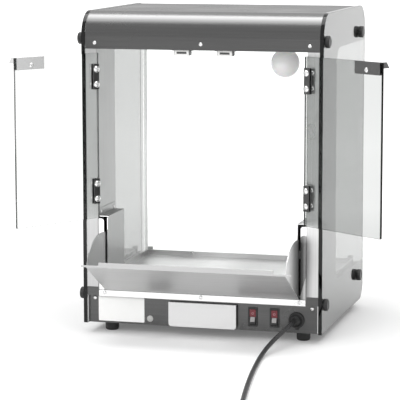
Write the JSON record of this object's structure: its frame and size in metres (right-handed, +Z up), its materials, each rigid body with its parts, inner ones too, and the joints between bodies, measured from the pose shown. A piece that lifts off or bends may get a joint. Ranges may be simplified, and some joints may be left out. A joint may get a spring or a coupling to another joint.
{
  "type": "chip warmer",
  "caption": "Counter-top chip warmer: bent side glasses, dark steel hood and base, glass doors, drop-down front flap, heated tray, crumb drawer, lamp and mains lead.",
  "frame": {"origin": "bottom centre of the box round the cabinet with its doors and flap open, the mains lead left out, on the surface that the feet stand on", "axes": "+X to the right across the front, +Y from the server's front (doors and flap) towards the customer's pane, +Z up"},
  "size_m": [0.5496, 0.982, 0.491],
  "materials": {
    "clear_glass": "polished clear sheet, greenish at the edge",
    "lamp_glass": "frosted",
    "bright_steel": "bright cold-rolled stainless",
    "dark_steel": "dark grey satin sheet",
    "plain_steel": "dull zinc-plated sheet",
    "screw_steel": "bright plated fasteners",
    "black_plastic": "matt black moulding",
    "rubber_black": "matt",
    "white_plastic": "satin white moulding",
    "magnet": "dark ferrite",
    "rocker_red": "gloss moulding",
    "bare_plate": "plain dark plate",
    "heater_metal": "oxidised steel tube",
    "copper_wire": "insulated wire",
    "pad_silicone": "matt silicone",
    "cord_black": "satin sheath"
  },
  "bodies": {
    "cabinet": {"side_glass_left": "clear_glass", "side_glass_right": "clear_glass", "side_plate_left": "bright_steel", "side_plate_right": "bright_steel", "glass_knobs": "black_plastic", "knob_studs": "screw_steel", "post_left": "bright_steel", "post_right": "bright_steel", "hood_cover": "dark_steel", "hood_ceiling": "bright_steel", "cabinet_screws": "screw_steel", "base_pan": "dark_steel", "base_front": "dark_steel", "ledge_strip": "bright_steel", "tray_rails": "plain_steel", "tray_pads": "pad_silicone", "heat_shield": "plain_steel", "feet": "rubber_black", "rear_pane": "clear_glass", "pane_clips": "black_plastic", "flap_guard_left": "bright_steel", "flap_guard_right": "bright_steel", "guard_rivets": "screw_steel", "pivot_pins": "screw_steel", "hinge_fixed_leaves": "dark_steel", "catch_bodies": "white_plastic", "catch_magnets": "magnet", "catch_brackets": "plain_steel", "lamp_bulb": "lamp_glass", "lamp_holder": "black_plastic", "switch_bodies": "black_plastic", "label_plate": "bare_plate", "round_cap": "white_plastic", "cord_gland": "black_plastic", "drawer_runners": "plain_steel", "heating_element": "heater_metal", "heater_saddles": "plain_steel", "thermal_cutout": "black_plastic", "terminal_block": "white_plastic", "wiring": "copper_wire", "cord": "cord_black", "cord_coil": "cord_black", "cord_lead": "cord_black", "coil_tie": "black_plastic", "plug": "cord_black"},
    "flap": {"flap_panel": "bright_steel", "flap_cheek_left": "bright_steel", "flap_cheek_right": "bright_steel"},
    "door_left": {"door_glass_left": "clear_glass", "hinge_leaves_left": "dark_steel", "hinge_bolts_left": "screw_steel", "door_handle_left": "dark_steel"},
    "door_right": {"door_glass_right": "clear_glass", "hinge_leaves_right": "dark_steel", "hinge_bolts_right": "screw_steel", "door_handle_right": "dark_steel"},
    "tray": {"food_tray": "bright_steel"},
    "drawer": {"crumb_drawer": "bright_steel"},
    "heat_rocker": {"rocker_heat": "rocker_red"},
    "light_rocker": {"rocker_light": "rocker_red"}
  },
  "joints": [
    {"name": "flap_hinge", "type": "hinge", "parent": "cabinet", "child": "flap", "pos_m": [-0.0228, -0.08388, 0.0715], "axis": [-1, 0, 0], "range_deg": [0, 60.7]},
    {"name": "left_door_hinge", "type": "hinge", "parent": "cabinet", "child": "door_left", "pos_m": [-0.185, -0.09058, 0.1799], "axis": [0, 0, -1], "range_deg": [-120.5, 44.5]},
    {"name": "right_door_hinge", "type": "hinge", "parent": "cabinet", "child": "door_right", "pos_m": [0.1394, -0.09058, 0.1799], "axis": [0, 0, 1], "range_deg": [-144.8, 20.2]},
    {"name": "tray_lift", "type": "slide", "parent": "cabinet", "child": "tray", "axis": [0, 0, 1], "range_m": [0, 0.03]},
    {"name": "drawer_slide", "type": "slide", "parent": "cabinet", "child": "drawer", "axis": [0, -1, 0], "range_m": [0, 0.15]},
    {"name": "heat_rocker_pivot", "type": "hinge", "parent": "cabinet", "child": "heat_rocker", "pos_m": [0.0563, -0.08068, 0.037], "axis": [1, 0, 0], "range_deg": [0, 14]},
    {"name": "light_rocker_pivot", "type": "hinge", "parent": "cabinet", "child": "light_rocker", "pos_m": [0.0896, -0.08068, 0.037], "axis": [1, 0, 0], "range_deg": [0, 14]}
  ]
}
